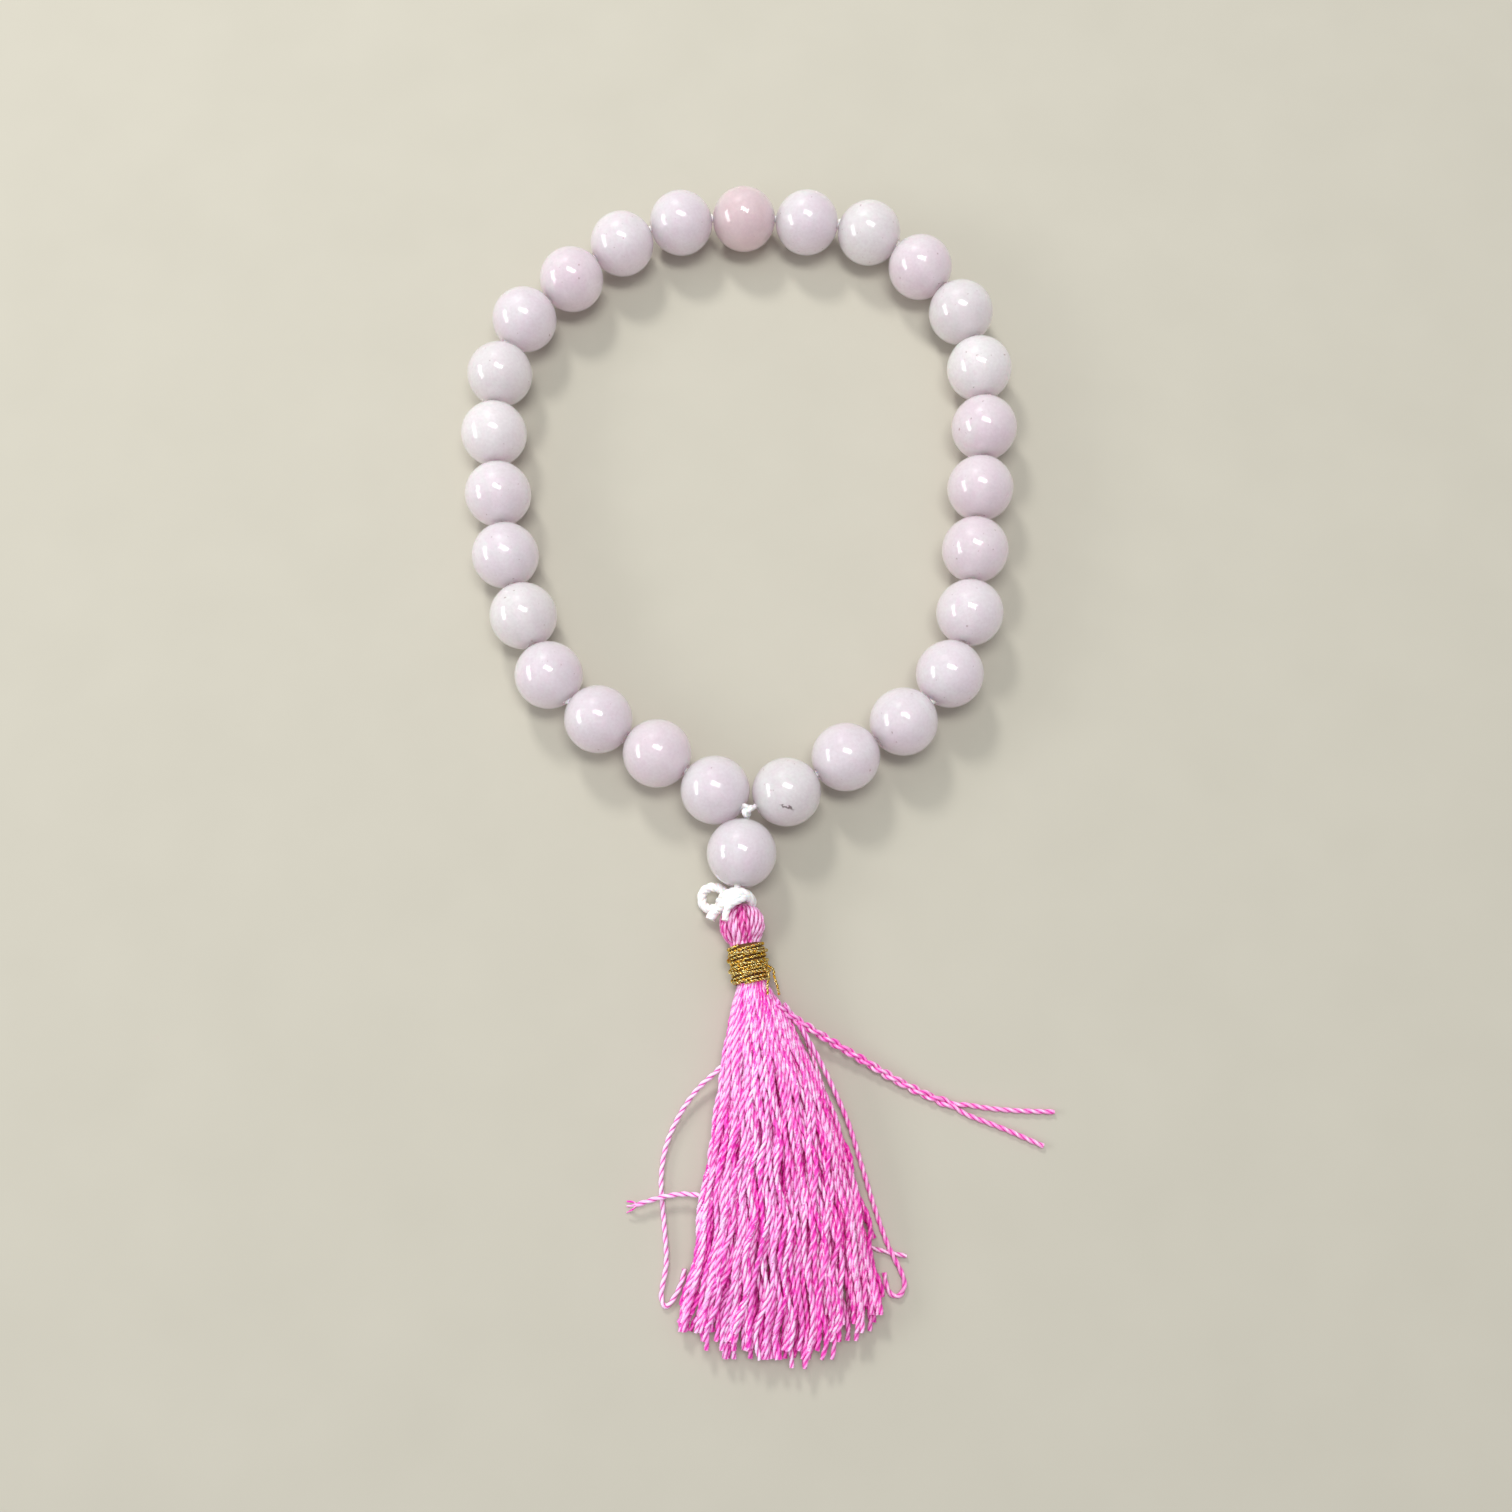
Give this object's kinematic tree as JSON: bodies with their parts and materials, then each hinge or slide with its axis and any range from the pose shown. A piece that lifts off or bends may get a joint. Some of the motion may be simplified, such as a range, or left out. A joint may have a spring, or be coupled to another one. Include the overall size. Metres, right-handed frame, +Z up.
{
  "type": "mala prayer beads",
  "caption": "Beaded prayer loop of round drilled rose quartz on a knotted cord, closed by a guru bead with a silk tassel bound in gold thread.",
  "frame": {"origin": "the middle of the bounding box of the loop, guru bead and tassel, on the surface the mala lies on", "axes": "+Z up from the surface, +Y from the tassel towards the top of the loop, +X to the right"},
  "size_m": [0.0699, 0.1407, 0.0079],
  "materials": {
    "rose_quartz_pale": "polished, translucent lavender-pink with faint clouds",
    "rose_quartz_pink": "polished, translucent, a clearer pink",
    "rose_quartz_milky": "polished, translucent milky white with a grey cast",
    "rose_quartz_dusky": "polished, translucent, darker dusky rose",
    "white_cord": "twisted white nylon cord, lightly waxed",
    "pink_silk": "two-ply twisted silky thread, magenta pink",
    "gold_thread": "metallised gold thread, wound"
  },
  "bodies": {
    "strand_top": {"strand_cord_top": "white_cord"},
    "strand_upper": {"strand_cord_upper_left": "white_cord", "strand_cord_upper_right": "white_cord"},
    "strand_middle": {"strand_cord_middle_left": "white_cord", "strand_cord_middle_right": "white_cord"},
    "strand_lower": {"strand_cord_lower_left": "white_cord", "strand_cord_lower_right": "white_cord"},
    "strand_bottom": {"strand_cord_bottom_left": "white_cord", "strand_cord_bottom_right": "white_cord", "strand_knot": "white_cord"},
    "guru_stem": {"guru_cord": "white_cord", "tie_bow": "white_cord"},
    "tie": {"tie_knot": "white_cord"},
    "tassel": {"tassel_hanger": "white_cord", "tassel_head": "pink_silk", "gold_wrap": "gold_thread", "gold_tail_long": "gold_thread", "gold_tail_short": "gold_thread", "tie_tail_left": "white_cord", "tie_tail_right": "white_cord"},
    "skirt": {"tassel_skirt": "pink_silk", "stray_left_bow": "pink_silk", "stray_left_cross": "pink_silk", "stray_pair_lower": "pink_silk", "stray_pair_upper": "pink_silk", "stray_right_hook": "pink_silk"},
    "bead_01": {"bead_01": "rose_quartz_pale"},
    "bead_02": {"bead_02": "rose_quartz_pink"},
    "bead_03": {"bead_03": "rose_quartz_pale"},
    "bead_04": {"bead_04": "rose_quartz_pale"},
    "bead_05": {"bead_05": "rose_quartz_milky"},
    "bead_06": {"bead_06": "rose_quartz_pale"},
    "bead_07": {"bead_07": "rose_quartz_pale"},
    "bead_08": {"bead_08": "rose_quartz_pale"},
    "bead_09": {"bead_09": "rose_quartz_milky"},
    "bead_10": {"bead_10": "rose_quartz_pale"},
    "bead_11": {"bead_11": "rose_quartz_pink"},
    "bead_12": {"bead_12": "rose_quartz_pale"},
    "bead_13": {"bead_13": "rose_quartz_pale"},
    "bead_14": {"bead_14": "rose_quartz_dusky"},
    "bead_15": {"bead_15": "rose_quartz_pale"},
    "bead_16": {"bead_16": "rose_quartz_milky"},
    "bead_17": {"bead_17": "rose_quartz_pink"},
    "bead_18": {"bead_18": "rose_quartz_milky"},
    "bead_19": {"bead_19": "rose_quartz_pale"},
    "bead_20": {"bead_20": "rose_quartz_pink"},
    "bead_21": {"bead_21": "rose_quartz_pink"},
    "bead_22": {"bead_22": "rose_quartz_pink"},
    "bead_23": {"bead_23": "rose_quartz_pale"},
    "bead_24": {"bead_24": "rose_quartz_pale"},
    "bead_25": {"bead_25": "rose_quartz_pale"},
    "bead_26": {"bead_26": "rose_quartz_pale"},
    "bead_27": {"bead_27": "rose_quartz_milky"},
    "guru_bead": {"guru_bead": "rose_quartz_pale"}
  },
  "joints": [
    {"name": "loop_fold_upper", "type": "hinge", "parent": "strand_top", "child": "strand_upper", "pos_m": [0.00065, 0.05592, 0.00395], "axis": [0.9996, 0.0279, 0], "range_deg": [-22, 22]},
    {"name": "loop_fold_middle", "type": "hinge", "parent": "strand_upper", "child": "strand_middle", "pos_m": [-0.00003, 0.03268, 0.00395], "axis": [0.9999, 0.0131, 0], "range_deg": [-22, 22]},
    {"name": "loop_fold_lower", "type": "hinge", "parent": "strand_middle", "child": "strand_lower", "pos_m": [0.00116, 0.00876, 0.00395], "axis": [1, 0.0056, 0], "range_deg": [-22, 22]},
    {"name": "loop_fold_bottom", "type": "hinge", "parent": "strand_lower", "child": "strand_bottom", "pos_m": [0.00152, -0.00268, 0.00395], "axis": [0.9999, -0.0152, 0], "range_deg": [-22, 22]},
    {"name": "guru_tilt", "type": "hinge", "parent": "strand_bottom", "child": "guru_stem", "pos_m": [0.00095, -0.01135, 0.00395], "axis": [1, 0, 0], "range_deg": [-25, 25]},
    {"name": "tassel_swing", "type": "hinge", "parent": "guru_stem", "child": "tie", "pos_m": [-0.00005, -0.0212, 0.003], "axis": [0, 0, 1], "range_deg": [-15, 30]},
    {"name": "tassel_lift", "type": "hinge", "parent": "tie", "child": "tassel", "pos_m": [-0.00005, -0.0212, 0.003], "axis": [1, 0, 0], "range_deg": [-50, 30]},
    {"name": "skirt_sway", "type": "hinge", "parent": "tassel", "child": "skirt", "pos_m": [0.00163, -0.03116, 0.00265], "axis": [0, 0, 1], "range_deg": [-20, 20]},
    {"name": "guru_bead_spin", "type": "hinge", "parent": "guru_stem", "child": "guru_bead", "pos_m": [0.0004, -0.0162, 0.00395], "axis": [-0.1127, -0.9936, 0], "continuous": true},
    {"name": "bead_01_spin", "type": "hinge", "parent": "strand_bottom", "child": "bead_01", "pos_m": [-0.0027, -0.00879, 0.00395], "axis": [-0.8297, 0.5583, 0], "continuous": true},
    {"name": "bead_02_spin", "type": "hinge", "parent": "strand_bottom", "child": "bead_02", "pos_m": [-0.0095, -0.0044, 0.00395], "axis": [-0.8502, 0.5265, 0], "continuous": true},
    {"name": "bead_03_spin", "type": "hinge", "parent": "strand_lower", "child": "bead_03", "pos_m": [-0.01647, -0.00027, 0.00395], "axis": [-0.8057, 0.5923, 0], "continuous": true},
    {"name": "bead_04_spin", "type": "hinge", "parent": "strand_lower", "child": "bead_04", "pos_m": [-0.02249, 0.00515, 0.00395], "axis": [-0.5872, 0.8095, 0], "continuous": true},
    {"name": "bead_05_spin", "type": "hinge", "parent": "strand_middle", "child": "bead_05", "pos_m": [-0.02577, 0.01256, 0.00395], "axis": [-0.3562, 0.9344, 0], "continuous": true},
    {"name": "bead_06_spin", "type": "hinge", "parent": "strand_middle", "child": "bead_06", "pos_m": [-0.02825, 0.02027, 0.00395], "axis": [-0.2295, 0.9733, 0], "continuous": true},
    {"name": "bead_07_spin", "type": "hinge", "parent": "strand_middle", "child": "bead_07", "pos_m": [-0.02948, 0.02827, 0.00395], "axis": [-0.1272, 0.9919, 0], "continuous": true},
    {"name": "bead_08_spin", "type": "hinge", "parent": "strand_upper", "child": "bead_08", "pos_m": [-0.03032, 0.03633, 0.00395], "axis": [-0.0282, 0.9996, 0], "continuous": true},
    {"name": "bead_09_spin", "type": "hinge", "parent": "strand_upper", "child": "bead_09", "pos_m": [-0.02993, 0.04442, 0.00395], "axis": [0.1973, 0.9803, 0], "continuous": true},
    {"name": "bead_10_spin", "type": "hinge", "parent": "strand_upper", "child": "bead_10", "pos_m": [-0.02715, 0.05203, 0.00395], "axis": [0.5408, 0.8412, 0], "continuous": true},
    {"name": "bead_11_spin", "type": "hinge", "parent": "strand_top", "child": "bead_11", "pos_m": [-0.02139, 0.05772, 0.00395], "axis": [0.7453, 0.6667, 0], "continuous": true},
    {"name": "bead_12_spin", "type": "hinge", "parent": "strand_top", "child": "bead_12", "pos_m": [-0.0151, 0.06282, 0.00395], "axis": [0.8619, 0.5071, 0], "continuous": true},
    {"name": "bead_13_spin", "type": "hinge", "parent": "strand_top", "child": "bead_13", "pos_m": [-0.00758, 0.06584, 0.00395], "axis": [0.9746, 0.2238, 0], "continuous": true},
    {"name": "bead_14_spin", "type": "hinge", "parent": "strand_top", "child": "bead_14", "pos_m": [0.0005, 0.0664, 0.00395], "axis": [1, 0.0024, 0], "continuous": true},
    {"name": "bead_15_spin", "type": "hinge", "parent": "strand_top", "child": "bead_15", "pos_m": [0.00858, 0.06588, 0.00395], "axis": [0.9923, -0.1237, 0], "continuous": true},
    {"name": "bead_16_spin", "type": "hinge", "parent": "strand_top", "child": "bead_16", "pos_m": [0.01655, 0.0644, 0.00395], "axis": [0.913, -0.408, 0], "continuous": true},
    {"name": "bead_17_spin", "type": "hinge", "parent": "strand_top", "child": "bead_17", "pos_m": [0.02296, 0.05946, 0.00395], "axis": [0.7079, -0.7063, 0], "continuous": true},
    {"name": "bead_18_spin", "type": "hinge", "parent": "strand_upper", "child": "bead_18", "pos_m": [0.02792, 0.05305, 0.00395], "axis": [0.4411, -0.8975, 0], "continuous": true},
    {"name": "bead_19_spin", "type": "hinge", "parent": "strand_upper", "child": "bead_19", "pos_m": [0.02996, 0.04521, 0.00395], "axis": [0.1462, -0.9892, 0], "continuous": true},
    {"name": "bead_20_spin", "type": "hinge", "parent": "strand_upper", "child": "bead_20", "pos_m": [0.03028, 0.03712, 0.00395], "axis": [-0.0287, -0.9996, 0], "continuous": true},
    {"name": "bead_21_spin", "type": "hinge", "parent": "strand_middle", "child": "bead_21", "pos_m": [0.0295, 0.02906, 0.00395], "axis": [-0.1048, -0.9945, 0], "continuous": true},
    {"name": "bead_22_spin", "type": "hinge", "parent": "strand_middle", "child": "bead_22", "pos_m": [0.02858, 0.02101, 0.00395], "axis": [-0.1144, -0.9934, 0], "continuous": true},
    {"name": "bead_23_spin", "type": "hinge", "parent": "strand_middle", "child": "bead_23", "pos_m": [0.02765, 0.01296, 0.00395], "axis": [-0.2221, -0.975, 0], "continuous": true},
    {"name": "bead_24_spin", "type": "hinge", "parent": "strand_lower", "child": "bead_24", "pos_m": [0.025, 0.0053, 0.00395], "axis": [-0.5206, -0.8538, 0], "continuous": true},
    {"name": "bead_25_spin", "type": "hinge", "parent": "strand_lower", "child": "bead_25", "pos_m": [0.01941, -0.00055, 0.00395], "axis": [-0.7757, -0.6311, 0], "continuous": true},
    {"name": "bead_26_spin", "type": "hinge", "parent": "strand_bottom", "child": "bead_26", "pos_m": [0.01254, -0.00484, 0.00395], "axis": [-0.8524, -0.5229, 0], "continuous": true},
    {"name": "bead_27_spin", "type": "hinge", "parent": "strand_bottom", "child": "bead_27", "pos_m": [0.0056, -0.00902, 0.00395], "axis": [-0.8759, -0.4824, 0], "continuous": true}
  ]
}
